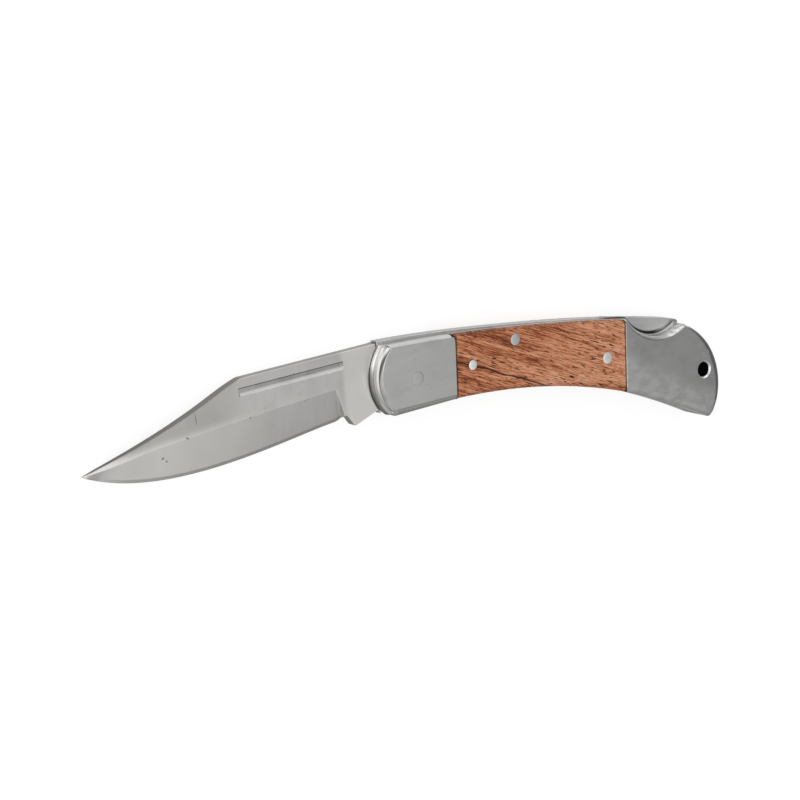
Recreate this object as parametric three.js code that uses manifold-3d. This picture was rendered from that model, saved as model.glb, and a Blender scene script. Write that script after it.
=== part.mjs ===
// A lock-back folding knife, lying open on its side, in millimetres.
// +X runs from the blade's tip to the butt, +Y points to the spine, +Z is the
// thickness. The blade pivot is the Z axis and z = 0 is the lower side's flat face.

import * as THREE from 'three';
import { mergeVertices } from 'three/addons/utils/BufferGeometryUtils.js';
import Module from 'manifold-3d';

const wasm = await Module();
wasm.setup();

// Thicknesses, in the order that the layers are stacked
const bladeThickness = 2.8;
const sideClearance = 0.2; // between the blade or the lock bar and each liner
const washerThickness = 0.15;
const linerThickness = 1.0;
const sideThickness = 2.9; // a bolster, or a wooden scale

// Blade
const bladeReach = 97.7; // pivot to tip, along X
const tipDrop = 3.6; // tip below the pivot
const spineHeight = 11.0;
const tipBluntness = 0.35;
const clipLength = 46.6; // spine corner to tip, along X
const heelX = -21.2; // rear end of the cutting edge
const heelDrop = 6.9;
const edgeBevel = 0.9; // height of the sharpened bevel
const edgeThickness = 0.55; // above the sharpened bevel
const tipThickness = 0.7;
const taperLength = 29; // over which the blade thins towards its tip
const cuttingEdge = 0.08; // left at the very edge
const grindHeight = 1.7; // grind line above the pivot, at the heel
const grindFall = 4.4; // how far the grind line sinks on its way to the tip
const plungeLean = 1.6; // top of the plunge line ahead of the heel
const kickX = -18.2; // lowest corner of the ricasso
const kickDrop = 9.0;
const kickFlat = 1.7;
const kickRise = 0.7; // along that flat
const notchDrop = 5.7; // small notch between the edge and the kick
const tangBottomX = -11.8; // where the ricasso's lower edge enters the handle
const tangBottomDrop = 6.9;
const tangFootAngle = -75; // degrees: where that edge runs into the round back of the tang

// Nail groove, on the upper side only
const grooveStart = 20.2; // from the pivot towards the tip
const grooveLength = 32;
const grooveBelowSpine = 2.4;
const grooveWidth = 2.2;
const grooveDepth = 0.7;
const grooveFoot = 0.35; // deepest line below the groove's upper wall

// Pivot and pins
const pivotDiameter = 3.6;
const pivotCover = 0.5; // metal left under the pivot pin on the lower side
const washerDiameter = 9.5;
const lockPinX = 33.3;
const lockPinBelowSpine = 7.6;
const lockPinDiameter = 3.2;
const frontRivetX = 18.3;
const frontRivetBelowSpine = 11.4;
const frontRivetDiameter = 2.7;
const rearRivetFromJoint = 6.8;
const rearRivetY = -8.7;
const rearRivetDiameter = 3.3;
const buttRivetDiameter = 2.4;
const upperButtRivet = [1.2, 4.6]; // from the lanyard hole
const lowerButtRivet = [-1.8, -8.6];
const pinClearance = 0.08; // radial

// Lock bar and its hook
const camRadius = 6.6; // back of the tang, round the pivot
const hookClearance = 0.2; // hook above the cam at rest, and inside its notch
const hookRearAngle = 103; // degrees round the pivot, from +X
const hookFrontAngle = 130;
const barFrontX = -9.2;
const hookFrontHeight = 5.0;
const hookFlankRun = 0.9; // rear flank of the hook
const hookFlankRise = 1.4;
const barEndFromButt = 11;
const barEndDrop = 4.7; // top of the bar's tail end
const barEndGap = 0.6; // between the bar's tail and the butt spacer
const barHeight = 4.1;
const tailBelowCut = 0.8; // tail below the thumb cut-out
const tailSlope = 0.1; // along the tail's underside
const tailStep = 1.7; // by which the tail is deeper than the bar before it
const archOverCam = 1.3; // underside of the bar above the cam, behind the hook
const barProud = 0.5; // above the blade's spine
const bossWall = 0.75; // of the bar, under its pin
const bossSpread = 90; // degrees of the boss, centred straight below the pin
const seatAngle = -1.4; // degrees: hook down in its notch
const closedAngle = 167.5; // degrees: blade folded

// Handle
const tipRoom = 0.8; // between the folded blade's tip and the butt spacer
const sweepTop = -8; // degrees: the spacer's face follows the tip's arc from here down
const sweepBottom = -24;
const spacerWidth = 7.8; // butt spacer, behind that room
const lipBottomY = -9.6; // the spacer reaches forward to the bar's tail above this
const sidesBelowSpine = 0.3; // tops of the sides at the front
const frontDrop = 8.4; // bottoms of the sides at the front
const frontTaperRun = 5.8; // their last stretch rises towards the blade
const frontRise = 2.2;
const rearBolsterLength = 34.6;
const frontJointX = 12.8;
const jointLean = 4.6; // degrees: both joints lean the same way
const rearJointY = -10; // height at which the rear joint is measured
const jointGap = 0.12;
const frontCentreX = 0.7; // centre of the handle's rounded front
const frontCentreY = 0.9;
const bolsterFrontRadius = 12.9;
const linerProud = 1.05; // liners ahead of the bolsters

// Points that bend the handle's outline: a distance ahead of the butt, and a height
const backFrontPullX = 19.4; // from the pivot
const backFrontPullDrop = 1.3;
const backRearPull = [45.2, 3.3];
const backEnd = [22.4, -1.7];
const buttStart = [16.4, -3.24];
const buttUpperPull = [-3.85, -10.42];
const buttLowerPull = [-1.56, -28.08];
const buttEnd = [3.54, -33.4];
const bellyStart = [5.07, -34.2];
const bellyRearPull = [29.7, -20.3];
const bellyFrontPull = [57.4, -9.87];
const bellyEndX = 11.7; // from the pivot

// Edges of the sides
const bevelSize = 0.9; // round the bolsters' faces
const woodRound = 1.5; // round the scales' faces

// Thumb cut-out over the lock bar, and the lanyard hole
const cutFromButt = 20.0;
const cutCentreY = 6.4;
const cutRadius = 12.8; // through the liners
const wideCutRise = 2.4; // the wider cut through the bolsters has its centre higher
const wideCutShift = 0.5;
const wideCutRadius = 15.6;
const cutFlare = 1.1;
const lanyardDiameter = 4.9;
const lanyardFromButt = 5.8;
const lanyardY = -19.9;

// Back spring
const springThickness = 0.9;
const springNose = 1.5; // its free end, bent along the tail
const noseDip = 0.15;
const springReach = 14;
const springGap = 0.25; // under the bar's tail
const springRootY = -12.6;
const springRootRadius = 0.95;
const socketClearance = 0.25;
const slotLength = 6; // mouth of the socket, open to the leaf as it swings
const slotFlare = 2.2;
const slotDrop = 0.6;

const CIRCLE_STEPS = 28;
const CURVE_STEPS = 24;
const FAR_OUT = 40;
const STRAIGHT_DOWN = 270; // degrees
const PAST = 1; // by which a cutter passes the faces that it cuts
const degrees = Math.PI / 180;

// Levels that follow from the thicknesses
const wellThickness = bladeThickness + 2 * sideClearance;
const lowerLinerZ = sideThickness;
const wellZ = lowerLinerZ + linerThickness;
const upperLinerZ = wellZ + wellThickness;
const upperSideZ = upperLinerZ + linerThickness;
const handleThickness = upperSideZ + sideThickness;
const middleZ = handleThickness / 2;
const bladeZ = wellZ + sideClearance;

// Places that follow from the spine and from the blade folding into the handle
const lockPinY = spineHeight - lockPinBelowSpine;
const frontRivetY = spineHeight - frontRivetBelowSpine;
const tipRadius = Math.hypot(bladeReach, tipDrop);
const spacerRadius = tipRadius + tipRoom;
const buttX = spacerRadius + spacerWidth;
const rearJointX = buttX - rearBolsterLength;
const cutX = buttX - cutFromButt;
const lanyardX = buttX - lanyardFromButt;
const rearRivetX = rearJointX - rearRivetFromJoint;
const springRootX = spacerRadius + springRootRadius + socketClearance;
const barEndX = buttX - barEndFromButt;
const outlineFrontX = frontCentreX - bolsterFrontRadius - 2 * linerProud;
const taperStartX = outlineFrontX + frontTaperRun;

// Turning three.js geometry into solids and back

function toSolid(geometry) {
  geometry.deleteAttribute('normal');
  geometry.deleteAttribute('uv');
  const merged = mergeVertices(geometry);
  const mesh = new wasm.Mesh({
    numProp: 3,
    vertProperties: new Float32Array(merged.attributes.position.array),
    triVerts: new Uint32Array(merged.index.array),
  });
  return new wasm.Manifold(mesh);
}

function toGeometry(solid) {
  const mesh = solid.getMesh();
  const geometry = new THREE.BufferGeometry();
  geometry.setAttribute('position', new THREE.BufferAttribute(mesh.vertProperties, 3));
  geometry.setIndex(new THREE.BufferAttribute(mesh.triVerts, 1));
  geometry.computeVertexNormals();
  return geometry;
}

// A flat plate with the given outline, from one level to another
function plate(outline, bottom, top) {
  const geometry = new THREE.ExtrudeGeometry(new THREE.Shape(outline), {
    depth: top - bottom,
    bevelEnabled: false,
  });
  return toSolid(geometry.translate(0, 0, bottom));
}

// The same, with both faces drawn in by a bevel: one step is a chamfer, more are a round
function bevelledPlate(outline, bottom, top, bevel, steps) {
  const geometry = new THREE.ExtrudeGeometry(new THREE.Shape(outline), {
    depth: top - bottom - 2 * bevel,
    bevelThickness: bevel,
    bevelSize: bevel,
    bevelOffset: -bevel,
    bevelSegments: steps,
  });
  return toSolid(geometry.translate(0, 0, bottom + bevel));
}

function rod(x, y, diameter, bottom, top) {
  const geometry = new THREE.CylinderGeometry(diameter / 2, diameter / 2, top - bottom, CIRCLE_STEPS);
  geometry.rotateX(Math.PI / 2);
  return toSolid(geometry.translate(x, y, (bottom + top) / 2));
}

// A disc whose rim is chamfered at both faces, or flared outwards where the bevel is negative
function bevelledDisc(x, y, radius, bottom, top, bevel) {
  const profile = [
    new THREE.Vector2(0, bottom),
    new THREE.Vector2(radius - bevel, bottom),
    new THREE.Vector2(radius, bottom + Math.abs(bevel)),
    new THREE.Vector2(radius, top - Math.abs(bevel)),
    new THREE.Vector2(radius - bevel, top),
    new THREE.Vector2(0, top),
  ];
  const geometry = new THREE.LatheGeometry(profile, 3 * CIRCLE_STEPS);
  geometry.rotateX(Math.PI / 2);
  return toSolid(geometry.translate(x, y, 0));
}

function at(x, y) {
  return new THREE.Vector2(x, y);
}

function bend(start, pull, push, end) {
  return new THREE.CubicBezierCurve(start, pull, push, end).getPoints(CURVE_STEPS);
}

function arc(x, y, radius, from, to, steps) {
  const points = [];
  for (let i = 0; i <= steps; i++) {
    const angle = (from + (to - from) * (i / steps)) * degrees;
    points.push(at(x + radius * Math.cos(angle), y + radius * Math.sin(angle)));
  }
  return points;
}

// Height of a left-to-right curve at a given x
function heightAt(points, x) {
  for (let i = 1; i < points.length; i++) {
    const a = points[i - 1];
    const b = points[i];
    if (x <= b.x || i === points.length - 1) {
      return a.y + ((b.y - a.y) * (x - a.x)) / (b.x - a.x);
    }
  }
  return points[0].y;
}

function turned(solid, x, y, angle) {
  return solid.translate([-x, -y, 0]).rotate([0, 0, angle]).translate([x, y, 0]);
}

// Outline of the liners and sides, seen from above

const ahead = ([run, height]) => at(buttX - run, height);
const topCurve = bend(
  at(outlineFrontX, spineHeight - sidesBelowSpine),
  at(backFrontPullX, spineHeight - backFrontPullDrop), ahead(backRearPull), ahead(backEnd));
const buttCurve = bend(
  ahead(buttStart), ahead(buttUpperPull), ahead(buttLowerPull), ahead(buttEnd));
const bottomCurve = bend(
  ahead(bellyStart), ahead(bellyRearPull), ahead(bellyFrontPull), at(bellyEndX, -frontDrop));

const handleOutline = [
  ...topCurve, ...buttCurve, ...bottomCurve,
  at(taperStartX, -frontDrop), at(outlineFrontX, -frontDrop + frontRise),
];

function block(left, down, right, up, bottom, top) {
  return plate([at(left, down), at(right, down), at(right, up), at(left, up)], bottom, top);
}

// A block on one side of a joint: before it for side -1, behind it for side 1
function jointBlock(jointX, jointY, side) {
  const lean = Math.tan(jointLean * degrees);
  const edge = jointX + side * (jointGap / 2);
  const up = at(edge + (FAR_OUT - jointY) * lean, FAR_OUT);
  const down = at(edge - (2 * FAR_OUT + jointY) * lean, -2 * FAR_OUT);
  const away = side * 4 * FAR_OUT;
  const corners = [down, at(down.x + away, down.y), at(up.x + away, up.y), up];
  if (side < 0) corners.reverse();
  return plate(corners, -PAST, handleThickness + PAST);
}

const beforeFrontJoint = jointBlock(frontJointX, 0, -1);
const behindFrontJoint = jointBlock(frontJointX, 0, 1);
const beforeRearJoint = jointBlock(rearJointX, rearJointY, -1);
const behindRearJoint = jointBlock(rearJointX, rearJointY, 1);

function layer(solid, bottom, top) {
  return solid.intersect(block(-FAR_OUT, -2 * FAR_OUT, 4 * FAR_OUT, FAR_OUT, bottom, top));
}

function bore(x, y, diameter) {
  return rod(x, y, diameter + 2 * pinClearance, -PAST, handleThickness + PAST);
}

const pivotBore = rod(
  0, 0, pivotDiameter + 2 * pinClearance, pivotCover - pinClearance, handleThickness + PAST);
const lockPinBore = bore(lockPinX, lockPinY, lockPinDiameter);
const frontRivetBore = bore(frontRivetX, frontRivetY, frontRivetDiameter);
const rearRivetBore = bore(rearRivetX, rearRivetY, rearRivetDiameter);
const lanyardBore = bore(lanyardX, lanyardY, lanyardDiameter - 2 * pinClearance);

// The butt rivets sit above and below the lanyard hole
const buttRivets = [
  { name: 'butt_rivet_upper', x: lanyardX + upperButtRivet[0], y: lanyardY + upperButtRivet[1] },
  { name: 'butt_rivet_lower', x: lanyardX + lowerButtRivet[0], y: lanyardY + lowerButtRivet[1] },
];
for (const rivet of buttRivets) {
  rivet.bore = bore(rivet.x, rivet.y, buttRivetDiameter);
}

// Thumb cut-out: one circle through the liners, a wider one through the bolsters that is
// flared at the outer faces
const linerCut = rod(cutX, cutCentreY, 2 * cutRadius, lowerLinerZ, upperSideZ);
const bolsterCut = bevelledDisc(
  cutX + wideCutShift, cutCentreY + wideCutRise, wideCutRadius, 0, handleThickness, -cutFlare);

const metalSides = bevelledPlate(handleOutline, 0, handleThickness, bevelSize, 1);
const woodSides = bevelledPlate(handleOutline, 0, handleThickness, woodRound, 4);
const behindFront = block(frontCentreX, -2 * FAR_OUT, 4 * FAR_OUT, FAR_OUT, 0, handleThickness);
const bolsterFront = bevelledDisc(
  frontCentreX, frontCentreY, bolsterFrontRadius, 0, handleThickness, bevelSize).add(behindFront);
const linerFront = rod(
  frontCentreX, frontCentreY, 2 * (bolsterFrontRadius + linerProud), 0, handleThickness).add(behindFront);

function frontBolster(bottom, top) {
  return layer(metalSides.intersect(bolsterFront).intersect(beforeFrontJoint), bottom, top)
    .subtract(pivotBore);
}

function woodScale(bottom, top) {
  return layer(woodSides.intersect(behindFrontJoint).intersect(beforeRearJoint), bottom, top)
    .subtract(lockPinBore)
    .subtract(frontRivetBore)
    .subtract(rearRivetBore);
}

function rearBolster(bottom, top) {
  let bolster = layer(metalSides.intersect(behindRearJoint).subtract(bolsterCut), bottom, top)
    .subtract(lanyardBore);
  for (const rivet of buttRivets) bolster = bolster.subtract(rivet.bore);
  return bolster;
}

function liner(bottom, top) {
  let sheet = plate(handleOutline, bottom, top)
    .intersect(linerFront)
    .subtract(linerCut)
    .subtract(pivotBore)
    .subtract(lockPinBore)
    .subtract(frontRivetBore)
    .subtract(rearRivetBore)
    .subtract(lanyardBore);
  for (const rivet of buttRivets) sheet = sheet.subtract(rivet.bore);
  return sheet;
}

// Blade

const spineCorner = at(-bladeReach + clipLength, spineHeight);
const tip = at(-bladeReach, -tipDrop);
const clipCurve = bend(
  at(tip.x, tip.y + tipBluntness), at(tip.x + 32.7, tip.y + 7.5),
  at(spineCorner.x - 8.8, spineCorner.y - 2.2), spineCorner);
const edgeCurve = bend(
  tip, at(tip.x + 23.5, tip.y - 12.5), at(heelX - 13.4, -heelDrop), at(heelX, -heelDrop));

function spineAt(x) {
  return x >= spineCorner.x ? spineHeight : heightAt(clipCurve, x);
}

// A section through the blade: its flats reach down to the grind line, then come the wedge and
// the sharpened bevel. Where the blade is low the wedge and the bevel take a share of its height.
const bevelShare = 0.25;
const wedgeShare = 0.3;
const grindCurve = 1.3;

function bladeSection(x) {
  const taper = Math.sqrt(Math.min(1, (x - tip.x) / taperLength));
  const spineHalf = (tipThickness + (bladeThickness - tipThickness) * taper) / 2;
  const shoulder = Math.min(edgeThickness, tipThickness) / 2;
  const edge = heightAt(edgeCurve, x);
  const room = spineAt(x) - edge;
  const bevel = Math.min(edgeBevel, room * bevelShare);
  const travelled = (heelX - x) / (heelX - tip.x);
  const grind = grindHeight - grindFall * travelled ** grindCurve;
  const lowest = edge + bevel + room * wedgeShare;
  const crest = Math.max(lowest, Math.min(grind, spineAt(x) - room * bevelShare));
  return [
    [spineAt(x), spineHalf],
    [crest, spineHalf],
    [edge + bevel, shoulder],
    [edge, cuttingEdge / 2],
    [edge, -cuttingEdge / 2],
    [edge + bevel, -shoulder],
    [crest, -spineHalf],
    [spineAt(x), -spineHalf],
  ];
}

// The ground part of the blade is skinned over sections from the tip to the heel
function groundBlade() {
  const stations = [];
  const clipSteps = 16;
  const straightSteps = 8;
  const crowding = 1.25; // stations lie closer together towards the tip
  for (let i = 0; i < clipSteps; i++) {
    stations.push(tip.x + clipLength * (i / clipSteps) ** crowding);
  }
  for (let i = 0; i <= straightSteps; i++) {
    stations.push(THREE.MathUtils.lerp(spineCorner.x, heelX, i / straightSteps));
  }
  const positions = [];
  const ringSize = bladeSection(heelX).length;
  for (const x of stations) {
    for (const [y, z] of bladeSection(x)) positions.push(x, y, middleZ + z);
  }
  const index = [];
  for (let s = 0; s + 1 < stations.length; s++) {
    for (let k = 0; k < ringSize; k++) {
      const a = s * ringSize + k;
      const b = s * ringSize + ((k + 1) % ringSize);
      index.push(a, b, a + ringSize, b, b + ringSize, a + ringSize);
    }
  }
  const last = (stations.length - 1) * ringSize;
  for (let k = 1; k + 1 < ringSize; k++) {
    index.push(0, k + 1, k);
    index.push(last, last + k, last + k + 1);
  }
  const geometry = new THREE.BufferGeometry();
  geometry.setAttribute('position', new THREE.Float32BufferAttribute(positions, 3));
  geometry.setIndex(index);
  return toSolid(geometry);
}

function ricasso() {
  const plungeTop = at(heelX - plungeLean, grindHeight);
  const foot = tangFootAngle * degrees;
  return plate([
    at(plungeTop.x, spineHeight),
    plungeTop,
    at(heelX, -notchDrop),
    at(kickX - kickFlat, -kickDrop + kickRise),
    at(kickX, -kickDrop),
    at(tangBottomX, -tangBottomDrop),
    at(camRadius * Math.cos(foot), camRadius * Math.sin(foot)),
    at(0, 0),
    at(barFrontX - hookClearance, hookFrontHeight / 2),
    at(barFrontX - hookClearance, spineHeight),
  ], bladeZ, bladeZ + bladeThickness);
}

// The hook at the front of the lock bar: grown by a clearance, it is the notch that it drops into
function hookPoints(grow) {
  const face = arc(0, 0, camRadius + hookClearance - grow, hookFrontAngle, hookRearAngle, 3);
  const rear = face.pop();
  return [
    at(barFrontX - grow, hookFrontHeight - grow),
    ...face,
    at(rear.x + grow, rear.y),
    at(rear.x + hookFlankRun + grow, rear.y + hookFlankRise),
  ];
}

function hookNotch() {
  const mouth = spineHeight + 4 * barProud;
  const points = [
    ...hookPoints(hookClearance),
    at(0, mouth),
    at(barFrontX - hookClearance, mouth),
  ];
  const seated = plate(points, wellZ, upperLinerZ);
  return turned(seated, lockPinX, lockPinY, -seatAngle);
}

function nailGroove() {
  const surface = bladeZ + bladeThickness;
  const upper = spineHeight - grooveBelowSpine;
  const section = new THREE.Shape([
    at(upper, surface + sideClearance),
    at(upper - grooveWidth, surface + sideClearance),
    at(upper - grooveWidth, surface),
    at(upper - grooveFoot, surface - grooveDepth),
    at(upper, surface),
  ]);
  const geometry = new THREE.ExtrudeGeometry(section, { depth: grooveLength, bevelEnabled: false });
  geometry.rotateX(Math.PI / 2);
  geometry.rotateZ(Math.PI / 2);
  geometry.translate(-grooveStart - grooveLength, 0, 0);
  return toSolid(geometry);
}

function blade() {
  const notch = hookNotch();
  const cam = rod(0, 0, 2 * camRadius, bladeZ, bladeZ + bladeThickness);
  return ricasso()
    .add(cam)
    .add(groundBlade())
    .subtract(notch)
    .subtract(turned(notch, 0, 0, -closedAngle))
    .subtract(pivotBore)
    .subtract(nailGroove());
}

// Lock bar

const barTop = bend(
  at(barFrontX, spineHeight + barProud), at(27.5, spineHeight + barProud - 1.7),
  at(barEndX + 0.2, -barEndDrop / 2), at(barEndX, -barEndDrop));
const tailBottom = cutCentreY - cutRadius - tailBelowCut;
const tailUnderside = [
  at(cutX - 9, tailBottom + tailStep),
  at(cutX - 3, tailBottom),
  at(barEndX - 1, tailBottom - tailSlope * (barEndX + 2 - cutX)),
];

function lockBar() {
  const under = (x) => at(x, heightAt(barTop, x) - barHeight);
  const boss = arc(
    lockPinX, lockPinY, lockPinDiameter / 2 + bossWall,
    STRAIGHT_DOWN - bossSpread / 2, STRAIGHT_DOWN + bossSpread / 2, 5);
  const outline = [
    ...hookPoints(0),
    at(3, camRadius + archOverCam),
    at(10, camRadius - 0.5),
    at(21, camRadius - 1.2),
    ...boss,
    under(lockPinX + 10),
    under(lockPinX + 22),
    under(cutX - 18),
    ...tailUnderside,
    at(barEndX, tailBottom),
    ...[...barTop].reverse(),
  ];
  return plate(outline, bladeZ, bladeZ + bladeThickness).subtract(lockPinBore);
}

// Back spring: a leaf under the bar's tail, with a round root held in the butt spacer

function backSpring() {
  const noseX = springRootX - springReach;
  const noseY = heightAt(tailUnderside, noseX) - springGap;
  const root = rod(springRootX, springRootY, 2 * springRootRadius, bladeZ, bladeZ + bladeThickness);
  const leaf = plate([
    at(noseX, noseY - springThickness),
    at(noseX + springNose, noseY - noseDip - springThickness),
    at(springRootX, springRootY - springThickness / 2),
    at(springRootX, springRootY + springThickness / 2),
    at(noseX + springNose, noseY - noseDip),
    at(noseX, noseY - 2 * noseDip),
  ], bladeZ, bladeZ + bladeThickness);
  return leaf.add(root);
}

// The butt spacer closes the well behind the folded blade's tip and holds the spring's root
function buttSpacer() {
  const bottom = wellZ - PAST;
  const top = upperLinerZ + PAST;
  const socket = rod(
    springRootX, springRootY, 2 * (springRootRadius + socketClearance), bottom, top);
  const slotHalf = springThickness / 2 + 2 * socketClearance;
  const slot = plate([
    at(springRootX - slotLength, springRootY - slotHalf + slotDrop),
    at(springRootX, springRootY - slotHalf),
    at(springRootX, springRootY + slotHalf),
    at(springRootX - slotLength, springRootY + slotHalf + slotFlare),
  ], bottom, top);
  const sweep = arc(0, 0, spacerRadius, sweepTop, sweepBottom, 8);
  const region = plate([
    at(barEndX + barEndGap, FAR_OUT),
    at(barEndX + barEndGap, lipBottomY),
    at(sweep[0].x, lipBottomY),
    ...sweep,
    at(sweep[8].x, -2 * FAR_OUT),
    at(buttX + FAR_OUT, -2 * FAR_OUT),
    at(buttX + FAR_OUT, FAR_OUT),
  ], bottom, top);
  let spacer = plate(handleOutline, wellZ, upperLinerZ)
    .intersect(region)
    .subtract(socket)
    .subtract(slot)
    .subtract(lanyardBore);
  for (const rivet of buttRivets) spacer = spacer.subtract(rivet.bore);
  return spacer;
}

function washer(bottom) {
  const gap = (sideClearance - washerThickness) / 2;
  const top = bottom + gap + washerThickness;
  return rod(0, 0, washerDiameter, bottom + gap, top).subtract(pivotBore);
}

// Materials

const steel = (color, roughness) => new THREE.MeshStandardMaterial({ color, roughness, metalness: 1 });
const bladeSteel = () => steel('#b9b9b6', 0.34);
const bolsterSteel = () => steel('#a6a6a4', 0.4);
const innerSteel = () => steel('#9b9c9c', 0.42);
const pinMetal = () => steel('#d9d8d4', 0.3);
const bronze = () => steel('#b08a4e', 0.4);
const wood = () => new THREE.MeshStandardMaterial({ color: '#a5694a', roughness: 0.6, metalness: 0 });

// The knife

const knife = new THREE.Group();
const handle = new THREE.Group();
knife.add(handle);

function piece(parent, name, solid, material) {
  const mesh = new THREE.Mesh(toGeometry(solid), material);
  mesh.name = name;
  parent.add(mesh);
}

piece(knife, 'blade', blade(), bladeSteel());
piece(knife, 'lock_bar', lockBar(), innerSteel());
piece(knife, 'back_spring', backSpring(), innerSteel());

const sides = [
  { side: 'lower', bottom: 0, top: lowerLinerZ, liner: [lowerLinerZ, wellZ], rivet: [0, wellZ] },
  {
    side: 'upper', bottom: upperSideZ, top: handleThickness, liner: [upperLinerZ, upperSideZ],
    rivet: [upperLinerZ, handleThickness],
  },
];
for (const level of sides) {
  const { side, bottom, top } = level;
  piece(handle, `front_bolster_${side}`, frontBolster(bottom, top), bolsterSteel());
  piece(handle, `wood_scale_${side}`, woodScale(bottom, top), wood());
  piece(handle, `rear_bolster_${side}`, rearBolster(bottom, top), bolsterSteel());
  piece(handle, `liner_${side}`, liner(...level.liner), innerSteel());
  piece(handle, `scale_rivet_front_${side}`,
    rod(frontRivetX, frontRivetY, frontRivetDiameter, ...level.rivet), pinMetal());
  piece(handle, `scale_rivet_rear_${side}`,
    rod(rearRivetX, rearRivetY, rearRivetDiameter, ...level.rivet), pinMetal());
}

piece(handle, 'pivot_washer_lower', washer(wellZ), bronze());
piece(handle, 'pivot_washer_upper', washer(upperLinerZ - sideClearance), bronze());
piece(handle, 'pivot_pin',
  rod(0, 0, pivotDiameter, pivotCover, handleThickness), bolsterSteel());
piece(handle, 'lock_bar_pin',
  rod(lockPinX, lockPinY, lockPinDiameter, 0, handleThickness), innerSteel());
piece(handle, 'butt_spacer', buttSpacer(), innerSteel());
for (const { name, x, y } of buttRivets) {
  piece(handle, name, rod(x, y, buttRivetDiameter, 0, handleThickness), bolsterSteel());
}

export default knife;
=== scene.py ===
# %% [markdown]
# # A back-lock folding knife
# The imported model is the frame: it settles every body, joint and size. This file gives the same
# knife the surfaces that an eye notices, such as ground bevels, broken edges, brushed steel and
# open-pored wood. Everything is built in millimetres and turned to metres when a mesh is made.

# %% Load the frame
import math
import bpy
import bmesh
import numpy as np
from mathutils import Matrix, Vector, geometry


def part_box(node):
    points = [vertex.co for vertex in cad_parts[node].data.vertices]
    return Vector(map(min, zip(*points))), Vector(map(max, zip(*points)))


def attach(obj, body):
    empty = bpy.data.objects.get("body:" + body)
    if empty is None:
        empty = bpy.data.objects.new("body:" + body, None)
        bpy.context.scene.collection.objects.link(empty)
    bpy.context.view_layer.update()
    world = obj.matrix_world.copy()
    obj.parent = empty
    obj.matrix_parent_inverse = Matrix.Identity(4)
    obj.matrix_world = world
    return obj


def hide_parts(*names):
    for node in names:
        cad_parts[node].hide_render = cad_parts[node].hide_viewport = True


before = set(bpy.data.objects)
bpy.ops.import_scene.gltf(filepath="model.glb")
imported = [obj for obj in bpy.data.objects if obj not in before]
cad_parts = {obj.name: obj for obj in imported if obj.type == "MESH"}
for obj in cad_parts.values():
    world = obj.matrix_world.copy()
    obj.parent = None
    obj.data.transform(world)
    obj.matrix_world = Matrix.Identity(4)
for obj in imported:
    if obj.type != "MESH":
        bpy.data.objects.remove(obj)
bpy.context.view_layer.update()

MM = 0.001


def put(name, data):
    """An object made from data and linked to the scene."""
    made = bpy.data.objects.new(name, data)
    bpy.context.scene.collection.objects.link(made)
    return made


# %% [markdown]
# The camera comes first, because every later judgement is made through it. Its place follows from
# how the knife lies in the picture: the tilt of its face, the lean of the face's normal, the rise
# of its long axis, the picture point of the pivot and the size of a millimetre there.

# %% Camera
PICTURE = 800
PIVOT_PIXEL = (418.2, 378.5)
PIXELS_PER_MM = 3.8033
DISTANCE = 600.0
FACE_TILT = math.radians(37.0)
NORMAL_LEAN = math.radians(12.0)
AXIS_RISE = math.radians(15.2)
HANDLE_THICKNESS = 11.0

focal = PIXELS_PER_MM * DISTANCE
facing = Vector((
    math.sin(FACE_TILT) * math.cos(NORMAL_LEAN),
    -math.sin(FACE_TILT) * math.sin(NORMAL_LEAN),
    math.cos(FACE_TILT)))
along = Vector((math.cos(AXIS_RISE), math.sin(AXIS_RISE), 0.0))
along.z = -(facing.x * along.x + facing.y * along.y) / facing.z
along.normalize()
across = facing.cross(along)
lying = Matrix((along, across, facing)).transposed()
middle = PICTURE / 2
sight = Vector(((PIVOT_PIXEL[0] - middle) / focal, (middle - PIVOT_PIXEL[1]) / focal, -1.0))
sight.normalize()
aim = Vector((0, 0, -1)).rotation_difference(sight).to_matrix() @ lying
pivot_mark = Vector((0, 0, HANDLE_THICKNESS))
eye = pivot_mark - aim.transposed() @ (sight * DISTANCE)

camera = put("camera", bpy.data.cameras.new("camera"))
camera.data.sensor_width = 36.0
camera.data.lens = focal / PICTURE * camera.data.sensor_width
camera.data.clip_start = 0.01
camera.matrix_world = Matrix.Translation(eye * MM) @ aim.transposed().to_4x4()
bpy.context.scene.camera = camera
print("camera at", [round(v) for v in eye], "mm, lens", round(camera.data.lens, 1), "mm")

# %% [markdown]
# Node trees are written as sums. A Term wraps a socket, so that `noise * 0.5 + 0.2` adds its Math
# nodes by itself. Every other node comes from `Tree.node`: its type, then its settings, then the
# values or links of its sockets. Shader and geometry trees share the class.

# %% Node helpers
def maths(operation, swapped=False):
    """A method that puts a Math node between a term and a number or another term."""
    def method(self, other):
        a, b = (other, self) if swapped else (self, other)
        return self.tree.node("ShaderNodeMath", {"operation": operation}, {0: a, 1: b})
    return method


class Term:
    """A socket of a node that can be reckoned with."""

    __add__ = __radd__ = maths("ADD")
    __sub__ = maths("SUBTRACT")
    __rsub__ = maths("SUBTRACT", swapped=True)
    __mul__ = __rmul__ = maths("MULTIPLY")
    __pow__ = maths("POWER")
    above = maths("GREATER_THAN")

    def __init__(self, tree, socket):
        self.tree = tree
        self.socket = socket

    def out(self, name):
        """Another output of the same node."""
        return Term(self.tree, self.socket.node.outputs[name])

    def absolute(self):
        return self.tree.node("ShaderNodeMath", {"operation": "ABSOLUTE"}, {0: self})

    def ramp(self, low, high, start=0.0, end=1.0):
        """The term taken smoothly from start to end as it goes from low to high."""
        settings = {"interpolation_type": "SMOOTHSTEP"}
        return self.tree.node("ShaderNodeMapRange", settings,
                              {0: self, 1: low, 2: high, 3: start, 4: end})


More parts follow.
